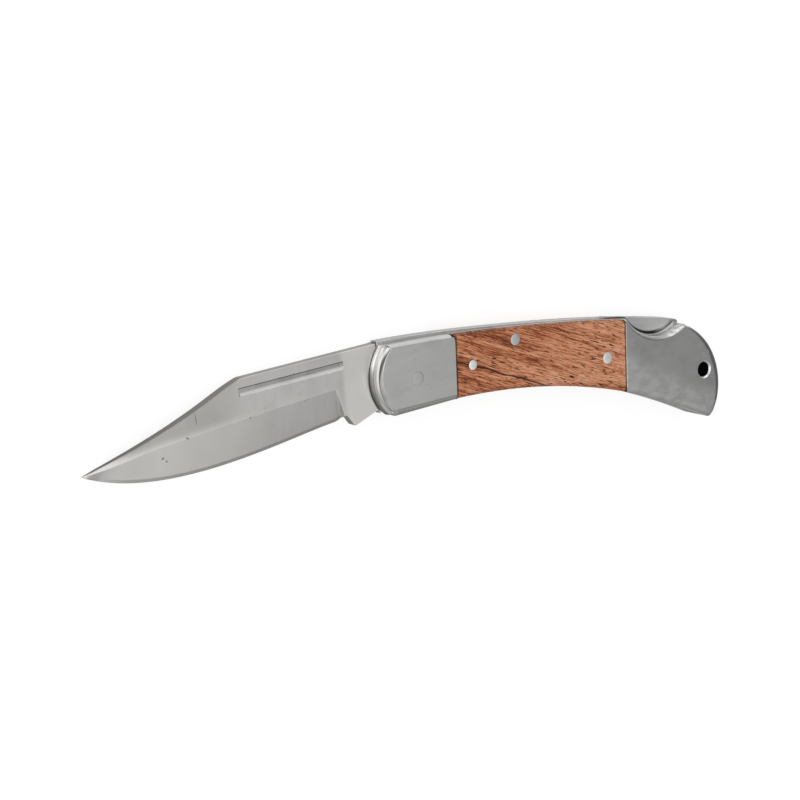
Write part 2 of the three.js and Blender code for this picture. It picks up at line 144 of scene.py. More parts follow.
class Tree:
    """A shader or geometry tree that is built node by node."""

    def __init__(self, tree):
        self.tree = tree

    def node(self, kind, settings=None, inputs=None, output=0):
        made = self.tree.nodes.new(kind)
        for name, value in (settings or {}).items():
            if name == "stops":
                ramp = made.color_ramp
                while len(ramp.elements) < len(value):
                    ramp.elements.new(0.5)
                for stop, (place, colour) in zip(ramp.elements, value):
                    stop.position = place
                    stop.color = (*colour, 1.0)
            else:
                setattr(made, name, value)
        for name, value in (inputs or {}).items():
            if isinstance(value, Term):
                self.tree.links.new(value.socket, made.inputs[name])
            else:
                made.inputs[name].default_value = value
        return Term(self, made.outputs[output]) if made.outputs else made

    def mix(self, factor, a, b):
        """Two colours mixed: a where the factor is 0, b where it is 1."""
        a, b = (colour if isinstance(colour, Term) else (*colour, 1.0) for colour in (a, b))
        return self.node("ShaderNodeMix", {"data_type": "RGBA"}, {0: factor, 6: a, 7: b}, output=2)

    def coat(self, colour, *coats):
        """A colour with coats laid over it in turn; each is (factor, colour)."""
        for factor, over in coats:
            colour = self.mix(factor, colour, over)
        return colour

    def place(self, size=(1.0, 1.0, 1.0), turn=0.0, start=(0.0, 0.0)):
        """Object coordinates turned on the face; size is what one unit measures, in millimetres."""
        at = self.node("ShaderNodeTexCoord", output="Object")
        inputs = {"Vector": at, "Location": (start[0] * MM, start[1] * MM, 0.0),
                  "Rotation": (0.0, 0.0, turn), "Scale": tuple(length * MM for length in size)}
        return self.node("ShaderNodeMapping", {"vector_type": "TEXTURE"}, inputs)

    def axes(self, vector):
        """The three numbers of a vector."""
        parts = self.node("ShaderNodeSeparateXYZ", None, {0: vector})
        return parts, parts.out("Y"), parts.out("Z")

    def noise(self, vector, detail=2.0, rough=0.5, warp=0.0):
        inputs = {"Vector": vector, "Scale": 1.0, "Detail": detail, "Roughness": rough,
                  "Distortion": warp}
        return self.node("ShaderNodeTexNoise", None, inputs)

    def bump(self, height, distance):
        inputs = {"Height": height, "Distance": distance, "Strength": 0.5}
        return self.node("ShaderNodeBump", None, inputs)


def new_material(name):
    """A material, its tree and its principled shader, ready to be wired."""
    material = bpy.data.materials.new(name)
    material.use_nodes = True
    tree = Tree(material.node_tree)
    return material, tree, material.node_tree.nodes["Principled BSDF"]


def wire(tree, shader, **sockets):
    """Sets or links sockets of the principled shader; _ in a name stands for a space."""
    for name, value in sockets.items():
        socket = shader.inputs[name.replace("_", " ")]
        if isinstance(value, Term):
            tree.tree.links.new(value.socket, socket)
        elif isinstance(value, tuple) and len(value) == 3:
            socket.default_value = (*value, 1.0)
        else:
            socket.default_value = value


print("helpers ready")

# %% [markdown]
# Satin steel is never one grey. A belt leaves fine parallel lines, the light catches patches that
# are a little rougher, and handling leaves specks and hair scratches. One function holds that
# recipe, and each part of the knife sets its own tone, direction of lines and wear.

# %% Steel
LANYARD = (100.57, -19.9)
LANYARD_RADIUS = 2.12
LINER_BORE_RADIUS = 2.35
SPACER_BORE_RADIUS = 2.45
WELL_TOP = 6.9
BLADE_THICKNESS = 2.8
FRONT_CENTRE = (0.7, 0.9)
CUT_CENTRE = (86.37, 6.4)
CUT_RADIUS = 12.8
WIDE_CENTRE = (86.87, 8.8)
WIDE_RADIUS = 15.6
CUT_BEVEL = 1.1
MIDDLE_Z = HANDLE_THICKNESS / 2


def satin_steel(name, tone, roughness, lines=0.0, length=14.0, fineness=0.4, contrast=0.10,
                patches=0.10, specks=0.4, tint=None):
    """Brushed steel. lines is the angle of the brushing on the face, sizes are millimetres."""
    material, tree, shader = new_material(name)
    grain = tree.noise(tree.place((length, fineness, fineness), lines), detail=3.0, rough=0.6)
    wide = tree.noise(tree.place((2 * length, 4.5 * fineness, 4.5 * fineness), lines), detail=2.0)
    patch = tree.noise(tree.place((8.0,) * 3), detail=4.0, rough=0.55)
    spot = tree.noise(tree.place((0.66,) * 3), detail=1.0).ramp(0.745, 0.79, 0.0, specks)
    dark, light, shade = ([min(1.0, value * share) for value in tone]
                          for share in (1 - contrast, 1 + contrast, 1 - patches))
    brushed = tree.mix((grain * 0.55 + wide * 0.45).ramp(0.35, 0.65), dark, light)
    colour = tree.coat(brushed, (patch.ramp(0.45, 0.72, 0.0, 0.8), shade), (spot, (0.10, 0.095, 0.09)))
    if tint:
        colour = tint(tree, colour)
    rough = roughness + (grain - 0.5) * 0.16 + (patch - 0.5) * 0.14
    height = grain * 0.7 + wide * 0.3
    wire(tree, shader, Base_Color=colour, Metallic=1.0, Roughness=rough,
         Normal=tree.bump(height, 0.000012))
    return material


def distance_from(tree, centre):
    """The distance from a point of the face, and the way to it along X and along Y."""
    x, y, _ = tree.axes(tree.place(start=centre))
    return (x * x + y * y) ** 0.5, x, y


BLADE_MARKS = (((-65.4, 3.7), (0.13, 1.6), 0.08), ((-68.4, -0.5), (0.5, 0.25), -0.6),
               ((-49.8, 0.4), (0.24, 0.2), 0.0), ((-75.7, -4.0), (0.4, 0.3), 0.5),
               ((-74.7, -5.0), (0.22, 0.35), 0.0))


def blade_wear_and_shade(tree, colour):
    """The ricasso kept its first polishing and the point got a second one. The kick's front wall is
    darker, marks are scattered near the point, and a dark ring by the handle is painted shade of
    the gap at the liner, with some dirt."""
    distance, x, y = distance_from(tree, FRONT_CENTRE)
    cloud = tree.noise(tree.place((14.0, 9.0, 9.0)), detail=2.0)
    wedge = (y - x * 0.05).ramp(4.4, 1.4)
    flat = 1.0 - wedge
    polished = x.ramp(-22.2, -20.4) * 0.8 + wedge * (x + cloud * 16).ramp(-30.0, -72.0, 0.2, 0.95)
    heel_x, heel_y, z = tree.axes(tree.place())
    wall = (z - MIDDLE_Z).absolute().ramp(BLADE_THICKNESS / 2 - 0.02, BLADE_THICKNESS / 2 - 0.12)
    wall = wall * heel_x.ramp(-21.2, -20.9) * heel_x.ramp(-18.3, -18.7) * heel_y.ramp(-5.7, -6.0)
    # Painted shade: a dark ring on the blade just outside the liner's nose stands for the shadow in the gap
    # there, with some dirt; the marks added below are real.
    marks_dirt_and_shade = distance.ramp(14.0, 13.6) * y.ramp(5.0, -6.0, 0.1, 0.5)
    for (mark_x, mark_y), (wide, high), turn in BLADE_MARKS:
        across, up, _ = tree.axes(tree.place((wide, high, 1.0), turn, (mark_x, mark_y)))
        marks_dirt_and_shade = marks_dirt_and_shade + (across * across + up * up).ramp(1.3, 0.6, 0.0, 0.6)
    return tree.coat(colour, (polished, (0.68, 0.67, 0.645)),
                     (x.ramp(-44.0, -64.0) * flat * 0.85, (0.43, 0.425, 0.41)),
                     (x.ramp(-76.0, -90.0) * flat * 0.8, (0.30, 0.295, 0.285)),
                     (x.ramp(-84.0, -95.0) * wedge, (0.82, 0.81, 0.79)),
                     (wall * 0.8, (0.20, 0.20, 0.19)), (marks_dirt_and_shade, (0.05, 0.05, 0.045)))


def clip_spine_shade(tree, colour):
    """Along the clip the spine is painted darker than on its straight part: painted shade."""
    x, _, _ = tree.axes(tree.place())
    return tree.mix(x.ramp(-48.0, -52.5), colour, (0.17, 0.165, 0.155))


def bar_wear_and_shade(tree, colour):
    """The bar's back is darker, most of all in front. The thumb keeps the side bright in the cut-out,
    and a black line along the edge there, most of it in front, is painted shade of the gap under
    the liner."""
    x, _, z = tree.axes(tree.place())
    darkened = tree.mix(x.ramp(22.0, 60.0), (0.275, 0.275, 0.27), (0.42, 0.42, 0.415))
    distance, x, y = distance_from(tree, CUT_CENTRE)
    # Painted shade: the last coat lays a black line along the cut-out's edge, where the liner's edge shades
    # the bar.
    ahead = x.ramp(4.0, -1.0, 0.25, 1.0) * y.ramp(-4.2, -5.2)
    return tree.coat(colour, (z.ramp(WELL_TOP - 0.08, WELL_TOP - 0.15), darkened),
                     (distance.ramp(13.2, 11.8) * x.ramp(-8.0, 0.0, 0.0, 0.8), (0.80, 0.80, 0.79)),
                     (distance.ramp(11.75, 12.25) * ahead * 0.97, (0.015, 0.015, 0.013)))


def dark_bore(radius, front_sheen_and_shade=0.0):
    """Painted shade inside the lanyard hole up to a radius. Given a front strength, the part that
    stands proud at the front gets a painted highlight above and painted shade below.
    """
    def tint(tree, colour):
        distance, _, _ = distance_from(tree, LANYARD)
        coats = [(distance.ramp(radius, radius + 0.04, 0.96, 0.0), (0.015, 0.015, 0.015))]
        if front_sheen_and_shade:
            proud, x, y = distance_from(tree, FRONT_CENTRE)
            front = proud.ramp(12.9, 13.0) * x.ramp(-3.0, -6.0)
            # Painted highlight on the upper part of the proud nose, painted shade on its lower part.
            coats += [(front * y.ramp(2.0, 5.0), (0.98, 0.97, 0.95)),
                      (front * y.ramp(5.4, 1.0, 0.0, front_sheen_and_shade), (0.10, 0.10, 0.09))]
        return tree.coat(colour, *coats)
    return tint


def nose_highlight_and_shade(tree, colour):
    """The nose is painted brighter as a highlight, and the thin line between its round ledge and the step is
    painted shade.
    """
    distance, x, y = distance_from(tree, FRONT_CENTRE)
    nose = x.ramp(-2.0, -5.0) * y.absolute().ramp(9.3, 8.6)
    nose_highlight = tree.mix(y.absolute().ramp(1.5, 6.5), (0.68, 0.68, 0.665), (0.84, 0.84, 0.825))
    # Painted shade in the thin crease between the round ledge and the step.
    line = distance.ramp(12.04, 12.10) * distance.ramp(12.22, 12.16) * nose
    return tree.coat(colour, (distance.ramp(11.75, 11.95) * nose, nose_highlight),
                     (line * 0.85, (0.09, 0.09, 0.085)))


def butt_wear_sheen_and_shade(tree, colour):
    """The low part is mottled. The rim round the butt is painted darker as shade. The cut-out's rear is
    thumb-worn and painted with glints, the edge of the hole has a painted highlight, and the hole
    is painted dark inside as shade."""
    x, y, z = tree.axes(tree.place())
    above_belly = y + x * 0.6
    rim_part = (z - MIDDLE_Z).absolute().ramp(MIDDLE_Z - 0.03, MIDDLE_Z - 0.12)
    mottle = tree.noise(tree.place((3.4, 1.6, 2.0)), detail=3.0).ramp(0.35, 0.65, 0.25, 0.7)
    # Painted shade on the rim round the butt.
    darkened = rim_part * x.ramp(95.0, 96.8) * above_belly.ramp(31.0, 33.5)
    shine = tree.noise(tree.place((1.5, 0.9, 0.9)), detail=2.0).ramp(0.42, 0.58, 0.15, 1.0)
    # Thumb wear on the cut-out's rear, with painted glints from the shine noise.
    thumbed_and_glinting = rim_part * x.ramp(86.0, 90.0) * x.ramp(96.6, 96.0) * y.ramp(-9.0, -8.4) * shine
    far, beside, _ = distance_from(tree, WIDE_CENTRE)
    brink = WIDE_RADIUS + CUT_BEVEL
    line = far.ramp(brink - 0.25, brink - 0.1) * far.ramp(brink + 0.15, brink) * beside.ramp(3.0, -2.0)
    distance, _, _ = distance_from(tree, LANYARD)
    # Painted highlight round the edge of the hole.
    rim_highlight = distance.ramp(LANYARD_RADIUS + 0.5, LANYARD_RADIUS + 0.42)
    worn = tree.coat(colour, (above_belly.ramp(37.0, 31.0) * mottle, (0.68, 0.68, 0.67)),
                     (darkened, (0.25, 0.25, 0.245)), (thumbed_and_glinting, (0.76, 0.76, 0.75)),
                     (line * 0.6, (0.12, 0.12, 0.115)), (rim_highlight, (0.97, 0.97, 0.96)))
    # Painted shade inside the hole.
    return dark_bore(LANYARD_RADIUS + 0.02)(tree, worn)


blade_steel = satin_steel("blade steel", (0.54, 0.53, 0.515), 0.34, math.radians(84), 7.0, 0.5,
                          contrast=0.04, patches=0.07, specks=0.6, tint=blade_wear_and_shade)
groove_steel = satin_steel("groove steel", (0.47, 0.46, 0.45), 0.5, 0.0, 9.0, 0.3, patches=0.3)
# The groove's upper wall and the strip beside it get a dark steel: painted shade under the wall, with some
# dirt.
groove_shade_and_dirt = satin_steel("groove shade and dirt", (0.13, 0.125, 0.12), 0.6, 0.0, 9.0, 0.3, patches=0.3)
spine_steel = satin_steel("spine steel", (0.27, 0.265, 0.255), 0.5, 0.0, 9.0, 0.3, tint=clip_spine_shade)
bolster_steel = satin_steel("bolster steel", (0.52, 0.52, 0.51), 0.36, math.radians(4), 9.0, 0.4,
                            contrast=0.03, tint=nose_highlight_and_shade)
rear_steel = satin_steel("rear bolster steel", (0.47, 0.47, 0.465), 0.40, math.radians(4), 7.0, 0.5,
                         contrast=0.03, patches=0.22, tint=butt_wear_sheen_and_shade)
bar_steel = satin_steel("lock bar steel", (0.66, 0.66, 0.655), 0.36, math.radians(-8), 20.0, 0.4,
                        contrast=0.05, tint=bar_wear_and_shade)
liner_steel = satin_steel("liner steel", (0.62, 0.615, 0.60), 0.34, 0.0, 16.0, 0.4,
                          tint=dark_bore(LINER_BORE_RADIUS + 0.02, 0.62))
inner_steel = satin_steel("inner steel", (0.42, 0.42, 0.415), 0.45, 0.2, 12.0, 0.6,
                          tint=dark_bore(SPACER_BORE_RADIUS + 0.1))
rivet_metal = satin_steel("rivet metal", (0.95, 0.95, 0.93), 0.38, 0.5, 3.0, 0.4, contrast=0.04,
                          patches=0.05, specks=0.2)
pin_steel = satin_steel("pin steel", (0.64, 0.65, 0.65), 0.38, 0.5, 3.0, 0.4, contrast=0.06)
washer_bronze = satin_steel("washer bronze", (0.60, 0.38, 0.16), 0.38, 0.3, 11.0, 0.6)
print("steels:", [m.name for m in bpy.data.materials if "steel" in m.name])

# %% [markdown]
# The scales are a reddish hardwood with open pores. The grain runs at a slant to the handle. Three
# layers make it: broad bands of warmer and paler wood, fine fibres, and short dark pores that lie
# along the grain. One strong dark vein crosses the front rivet.

# %% Wood
GRAIN_TURN = math.radians(-24.0)
VEIN_POINT = (18.3, -0.65)
JOINT_LEAN = math.tan(math.radians(4.6))
FRONT_JOINT = (12.8, 0.0, 7.0, 0.22)
REAR_JOINT = (71.77, -10.0, -0.4, 0.48)
WOOD_TONES = ((0.28, (0.18, 0.04, 0.013)), (0.42, (0.385, 0.114, 0.042)), (0.50, (0.53, 0.195, 0.091)),
              (0.60, (0.685, 0.292, 0.153)), (0.74, (0.82, 0.43, 0.265)))


def scale_wood(name):
    material, tree, shader = new_material(name)
    bands = tree.noise(tree.place((30.0, 2.2, 5.0), GRAIN_TURN), detail=3.0, rough=0.55, warp=0.5)
    fibre = tree.noise(tree.place((5.5, 0.34, 0.7), GRAIN_TURN), detail=5.0, rough=0.8, warp=0.2)
    pores = tree.noise(tree.place((2.8, 0.32, 0.5), GRAIN_TURN), detail=2.0, rough=0.5)
    crowds = tree.noise(tree.place((16.0, 3.0, 4.0), GRAIN_TURN, (3.0, 1.0)), detail=2.0)
    along, off, _ = tree.axes(tree.place(turn=GRAIN_TURN, start=VEIN_POINT))
    wobble = tree.noise(tree.place((5.0, 3.0, 3.0), GRAIN_TURN), detail=2.0)
    beside = (off + (wobble - 0.5) * 1.6).absolute()
    vein = beside.ramp(0.12, 0.42, 1.0, 0.0) * along.ramp(16.0, 36.0, 1.0, 0.5)
    tone = (fibre - 0.5) * 1.6 + (bands - 0.5) * 0.7 + along * 0.0026 + 0.472
    fibred = tree.node("ShaderNodeValToRGB", {"stops": WOOD_TONES}, {"Fac": tone})
    pore = (pores + (crowds - 0.5) * 0.2).ramp(0.575, 0.65)
    x, y, _ = tree.axes(tree.place())
    ragged = x - y * JOINT_LEAN + (wobble - 0.5) * 0.5
    seams = ragged.ramp(FRONT_JOINT[0] + 0.5, FRONT_JOINT[0] + 0.2, 0.0, 0.8)
    rear_x = REAR_JOINT[0] - REAR_JOINT[1] * JOINT_LEAN
    seams = seams + ragged.ramp(rear_x - 0.65, rear_x - 0.3, 0.0, 0.85)
    colour = tree.coat(fibred, (pore * 0.96, (0.055, 0.016, 0.008)),
                       (vein * 0.94, (0.035, 0.012, 0.008)), (seams, (0.05, 0.022, 0.014)))
    wire(tree, shader, Base_Color=colour, Roughness=0.52 + pore * 0.25,
         Normal=tree.bump(fibre * 0.4 - pore - vein, 0.00006))
    shader.inputs["Specular IOR Level"].default_value = 0.18
    return material


wood = scale_wood("scale wood")
print("wood ready")

# %% [markdown]
# Most pieces of the knife are plates: an outline with holes, and a profile along its rim. `plate`
# stacks rings of that outline. Each edge of the outline has its own bevel width, so that a
# bolster can be broad-bevelled along the handle and crisp at its joint with the wood. Normals are
# set corner by corner, which keeps the faces dead flat and the rims smooth.

# %% Plates with bevelled rims
def make_mesh(name, points, faces, material, normals=None):
    """An object from points in millimetres; normals holds one for each corner of each face."""
    mesh = bpy.data.meshes.new(name)
    mesh.from_pydata((np.asarray(points) * MM).tolist(), [], [list(map(int, face)) for face in faces])
    mesh.materials.append(material)
    mesh.shade_smooth()
    if normals is not None:
        mesh.normals_split_custom_set([tuple(n) for n in normals])
    return put(name, mesh)


SMOOTH_TURN = 0.08
HOLLOW_TURN = 0.3
LONGEST_OVERLAP = 40


def edge_normals(points):
    """Outward normal of each edge of an anticlockwise outline."""
    step = np.roll(points, -1, axis=0) - points
    normal = np.stack([step[:, 1], -step[:, 0]], axis=1)
    return normal / np.linalg.norm(normal, axis=1, keepdims=True)


def inset(points, widths):
    """The outline with each edge moved inwards by its own width."""
    after = edge_normals(points)
    before = np.roll(after, 1, axis=0)
    w1 = widths[:, None]
    w0 = np.roll(widths, 1)[:, None]
    turn = (before[:, 0] * after[:, 1] - before[:, 1] * after[:, 0])[:, None]
    smooth = np.abs(turn) < SMOOTH_TURN
    mean = before + after
    mean /= np.linalg.norm(mean, axis=1, keepdims=True)
    gentle = -mean * (w0 + w1) / 2
    safe = np.where(smooth, 1.0, turn)
    sharp = np.concatenate([
        w1 * before[:, 1:] - w0 * after[:, 1:],
        w0 * after[:, :1] - w1 * before[:, :1]], axis=1) / safe
    moved = points + np.where(smooth, gentle, sharp)
    count = len(points)
    for corner in np.nonzero(turn[:, 0] > HOLLOW_TURN)[0]:
        for sign, normal in ((-1, before[corner]), (1, after[corner])):
            way = np.array([-normal[1], normal[0]]) * sign
            for step in range(1, LONGEST_OVERLAP):
                near = (corner + sign * step) % count
                if np.dot(moved[near] - moved[corner], way) >= 0:
                    break
                moved[near] = moved[corner]
    return moved


def corner_normals(points, limit=math.radians(25)):
    """Normals at the start and at the end of each edge, shared where the outline is smooth."""
    after = edge_normals(points)
    before = np.roll(after, 1, axis=0)
    mean = before + after
    mean /= np.linalg.norm(mean, axis=1, keepdims=True)
    smooth = (np.sum(before * after, axis=1) > math.cos(limit))[:, None]
    start = np.where(smooth, mean, after)
    end = np.roll(np.where(smooth, mean, before), -1, axis=0)
    return start, end


def rim(bottom, top, lower, upper, squareness=1.3, steps=6):
    """Rings (side, share, height, out, up, cut, cut's out) up a plate's edge; side 1 is the upper
    one. Squareness 1 is a chamfer, 2 a round. A plain rim has no cut, so the last two are 0."""
    power = 2 / squareness
    arc = []
    for i in range(steps + 1):
        t = math.pi / 2 * i / steps
        share = 1 - math.cos(t) ** power
        drop = 1 - math.sin(t) ** power
        out = math.sin(t) ** (power - 1) * math.cos(t)
        up = math.cos(t) ** (power - 1) * math.sin(t)
        if i == 0:
            out, up = 1.0, 0.0
        if i == steps:
            out, up, share = 0.0, 1.0, 1.0
        arc.append((share, drop, out, up))
    rings = [(0, s, bottom + lower * d, o * lower, -u, 0.0, 0.0) for s, d, o, u in reversed(arc)]
    rings += [(1, s, top - upper * d, o * upper, u, 0.0, 0.0) for s, d, o, u in arc]
    return rings


def shaped_rim(bottom, top, lower, upper, nose, profile):
    """Rings of a rim whose upper profile is a list of (share, drop, nose drop): the drop is a share
    of upper, the nose drop a share of nose, and the cut leads from the one to the other."""
    share, drop, nose_drop = np.array(profile).T
    drop = drop * upper
    cut = nose_drop * nose - drop
    run, fall, dip = (np.gradient(value) for value in (share, drop, cut))
    length = np.hypot(run, fall + dip)
    rings = [ring for ring in rim(bottom, top, lower, upper) if not ring[0]]
    for i in range(len(share)):
        rings.append((1, share[i], top - drop[i], -fall[i] / length[i], run[i] / length[i],
                      cut[i], -dip[i] / length[i]))
    rings[-len(share)] = (1, 0.0, top - drop[0], 1.0, 0.0, cut[0], 0.0)
    rings[-1] = (1, 1.0, top, 0.0, 1.0, 0.0, 0.0)
    return rings


def plate(name, loops, rings, material, lower_width, mirrored=False):
    """A closed plate. loops: (points, bevels) for the outline, then for each clockwise hole. A bevel
    is the width, fall and cut of one upper edge, the last two as shares of the rim's. Each face is
    kept with the normals of its corners."""
    points, faces = [], []
    total = sum(len(points_of) for points_of, _ in loops)
    offset = 0
    layers = []
    highest = rings[-1][2]
    for side, share, height, _, _, cut, _ in rings:
        layer = []
        for loop, (widths, falls, cuts) in loops:
            wide = widths if side else np.full(len(loop), lower_width)
            fall = (highest - height) * falls + cut * cuts
            level = highest - fall if side else np.full(len(loop), height)
            shape = inset(loop, wide * share) if share else loop
            layer.append(shape)
            points += [(x, y, z) for (x, y), z in zip(shape, level)]
        layers.append(layer)
    for loop, (widths, falls, cuts) in loops:
        count = len(loop)
        start, end = corner_normals(loop)
        for k in range(len(rings) - 1):
            lean = []
            for ring in (rings[k], rings[k + 1]):
                side, _, _, out, up, _, cut_out = ring
                wide = widths if side else np.full(count, lower_width)
                steep = (out * falls + cut_out * cuts if side else np.full(count, out))[:, None]
                both = []
                for flat in (start, end):
                    tilt = np.concatenate([flat * steep, up * wide[:, None]], axis=1)
                    both.append(tilt / np.linalg.norm(tilt, axis=1, keepdims=True))
                lean.append(both)
            base = k * total + offset
            for i in range(count):
                j = (i + 1) % count
                faces.append(((base + i, base + j, base + total + j, base + total + i),
                              (lean[0][0][i], lean[0][1][i], lean[1][1][i], lean[1][0][i])))
        offset += count
    for k in (0, len(rings) - 1):
        flat = [[Vector((x, y, 0)) for x, y in shape] for shape in layers[k]]
        up = 1.0 if k else -1.0
        for a, b, c in geometry.tessellate_polygon(flat):
            pa, pb, pc = (np.array(points[k * total + v]) for v in (a, b, c))
            turn = np.cross(pb - pa, pc - pa)[2]
            if abs(turn) < 1e-12:
                turn = up
            corners = (a, b, c) if turn * up > 0 else (a, c, b)
            faces.append(([k * total + v for v in corners], [(0.0, 0.0, up)] * 3))
    points = np.array(points)
    if mirrored:
        points[:, 2] = HANDLE_THICKNESS - points[:, 2]
        faces = [(face[::-1], [(x, y, -z) for x, y, z in leans[::-1]]) for face, leans in faces]
    normals = [normal for _, leans in faces for normal in leans]
    return make_mesh(name, points, [face for face, _ in faces], material, normals)


print("plates ready")

# %% [markdown]
# The outline of the handle is three smooth curves: the back, the butt and the belly. Every plate
# takes its own stretch of them, cut at a joint line or at a circle, so that neighbours meet.

# %% Outline of the handle
def curve(a, b, c, d, count=140):
    t = np.linspace(0, 1, count)[:, None]
    a, b, c, d = (np.array(p, float) for p in (a, b, c, d))
    return (1 - t) ** 3 * a + 3 * (1 - t) ** 2 * t * b + 3 * (1 - t) * t ** 2 * c + t ** 3 * d


def arc(centre, radius, start, end, count=60):
    angle = np.radians(np.linspace(start, end, count))
    return np.stack([centre[0] + radius * np.cos(angle), centre[1] + radius * np.sin(angle)], axis=1)


def circle(centre, radius, count=48):
    """A clockwise circle, as a hole needs it."""
    return arc(centre, radius, 360, 360 / count, count)


def stretch(points, *sides):
    """The part of a line of points where every side is positive, cut cleanly at both ends and
    turned anticlockwise."""
    for side in sides:
        value = side(points)
        inside = np.nonzero(value >= 0)[0]
        first, last = inside[0], inside[-1]
        part = [points[first:last + 1]]
        if first > 0:
            share = value[first - 1] / (value[first - 1] - value[first])
            part.insert(0, (points[first - 1] + share * (points[first] - points[first - 1]))[None])
        if last + 1 < len(points):
            share = value[last] / (value[last] - value[last + 1])
            part.append((points[last] + share * (points[last + 1] - points[last]))[None])
        points = np.concatenate(part)
    return points[::-1]


BUTT_X = 106.37
SPINE_HEIGHT = 11.0
FRONT_X = -14.3
back = curve((FRONT_X, 10.7), (19.4, 9.7), (BUTT_X - 45.2, 3.3), (BUTT_X - 22.4, -1.7))
butt = curve((BUTT_X - 16.4, -3.24), (BUTT_X + 3.85, -10.42), (BUTT_X + 1.56, -28.08),
             (BUTT_X - 3.54, -33.4))
belly = curve((BUTT_X - 5.07, -34.2), (BUTT_X - 29.7, -20.3), (BUTT_X - 57.4, -9.87), (11.7, -8.4))
belly = np.concatenate([belly, [(-8.5, -8.4), (FRONT_X, -6.2)]])

BOLSTER_RADIUS = 12.9
LINER_RADIUS = 13.5
JOINT_GAP = 0.12


def joint_x(joint, height, sign):
    """Where a joint is at a height, before it for sign -1 or behind it for sign 1. The joint leans
    and, above its third value, curls forward by its fourth."""
    x, y, curl_from, curl = joint
    return (x + sign * JOINT_GAP / 2 + (height - y) * JOINT_LEAN
            - curl * np.maximum(0, height - curl_from) ** 2)


def joint_side(joint, sign):
    """Positive before the joint for sign -1, behind it for sign 1."""
    return lambda p: sign * (p[:, 0] - joint_x(joint, p[:, 1], sign))


def seam(joint, sign, start, end):
    """The line along a joint, from one end point to the other."""
    height = np.linspace(start[1], end[1], 24)
    line = np.column_stack([joint_x(joint, height, sign), height])
    line[0], line[-1] = start, end
    return line


def outside(centre, radius):
    return lambda p: np.hypot(p[:, 0] - centre[0], p[:, 1] - centre[1]) - radius


def front_side(radius):
    """Positive inside the round front, and everywhere behind its centre."""
    def side(p):
        inside = radius - np.hypot(p[:, 0] - FRONT_CENTRE[0], p[:, 1] - FRONT_CENTRE[1])
        return np.where(p[:, 0] > FRONT_CENTRE[0], radius, inside)
    return side


def arc_between(centre, radius, first, last):
    """The shorter arc about a centre, from one point to the other."""
    start, end = (math.degrees(math.atan2(y - centre[1], x - centre[0])) for x, y in (first, last))
    turn = (end - start + 180) % 360 - 180
    return arc(centre, radius, start, start + turn, 90)


def butt_corner(low, high):
    """The rounded lower corner of the butt."""
    return curve(low, low + (0.75, 0.0), high + (-0.3, -0.5), high, 10)


def join(*parts):
    """One closed outline from (points, widths, falls, cuts) parts, the last of which may be left
    out. Each holds a few values that are spread along the part."""
    loop = []
    for part, *bevel in parts:
        body = part[:-1]
        if len(bevel) == 2:
            bevel.append((0.0,))
        spread = [np.interp(np.linspace(0, 1, len(body)), np.linspace(0, 1, len(values)), values)
                  for values in bevel]
        loop.append(np.column_stack([body, *spread]))
    rows = np.concatenate(loop).T
    return rows[:2].T, rows[2:]


print("handle", round(BUTT_X - FRONT_X, 1), "mm long")

# %% [markdown]
# Bolsters, scales and liners. A rim is a soft chamfer with a small round at both ends, broader along
# the belly than along the back. The nose of the front bolster is stepped instead: a round ledge low
# down, then a short rise to the flat. Holes are clockwise loops with a small broken edge.

# %% Sides of the handle
JOINT = ((0.1,), (0.1,))
CRISP = ((0.14,), (1.0,))
SIDE_Z, LINER_Z = 8.1, 7.1


def even_bevel(points, width, fall=1.0):
    """The same bevel on every edge of a loop."""
    return np.tile([[width], [fall], [0.0]], (1, len(points)))


def hole(centre, radius, edge, fall):
    points = circle(centre, radius)
    return points, even_bevel(points, edge, fall)


def pin_hole(node, gap=0.06, edge=0.04):
    """A bore round a pin of the frame, with the clearance that the pin has there."""
    low, high = (np.array(corner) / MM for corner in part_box(node))
    centre = (low + high) / 2
    return hole((centre[0], centre[1]), (high[0] - low[0]) / 2 + gap, edge, 0.05)


def front_bolster():
    inside = (front_side(BOLSTER_RADIUS), joint_side(FRONT_JOINT, -1))
    top, low = stretch(back, *inside), stretch(belly, *inside)
    nose = arc_between(FRONT_CENTRE, BOLSTER_RADIUS, top[-1], low[0])
    return [join((top, (0.6,), (1.6,)),
                 (nose, (0.8, 0.95, 1.05, 1.1, 1.2), (1.0,), (1.0,)),
                 (low, (1.8, 1.42, 1.08), (0.5, 0.5)),
                 (seam(FRONT_JOINT, -1, low[-1], top[0]), *JOINT))]


def wood_scale():
    inside = (joint_side(FRONT_JOINT, 1), joint_side(REAR_JOINT, -1))
    top, low = stretch(back, *inside), stretch(belly, *inside)
    return [join((top, (0.7,), (1.6,)), (seam(FRONT_JOINT, 1, top[-1], low[0]), *JOINT),
                 (low, (1.08, 1.4, 1.85), (1.0,)),
                 (seam(REAR_JOINT, -1, low[-1], top[0]), *JOINT))]


def rear_bolster():
    behind = joint_side(REAR_JOINT, 1)
    notch = outside(WIDE_CENTRE, WIDE_RADIUS)
    top = stretch(back, behind, notch)
    round_end = stretch(butt, notch)
    low = stretch(belly, behind)
    cut = arc_between(WIDE_CENTRE, WIDE_RADIUS, round_end[-1], top[0])
    return [join((cut, (CUT_BEVEL,), (1.1,)), (top, (0.6,), (1.2,)),
                 (seam(REAR_JOINT, 1, top[-1], low[0]), (0.2,), (0.2,)),
                 (low, (1.85, 1.92, 1.5, 1.4), (0.35, 0.35, 0.5)),
                 (butt_corner(low[-1], round_end[0]), (1.4, 1.3), (0.8,)),
                 (round_end, (1.3, 1.6, 1.9, 2.1, 1.5, 0.5), (0.6, 0.6, 0.7, 0.8, 0.8, 0.6)))]


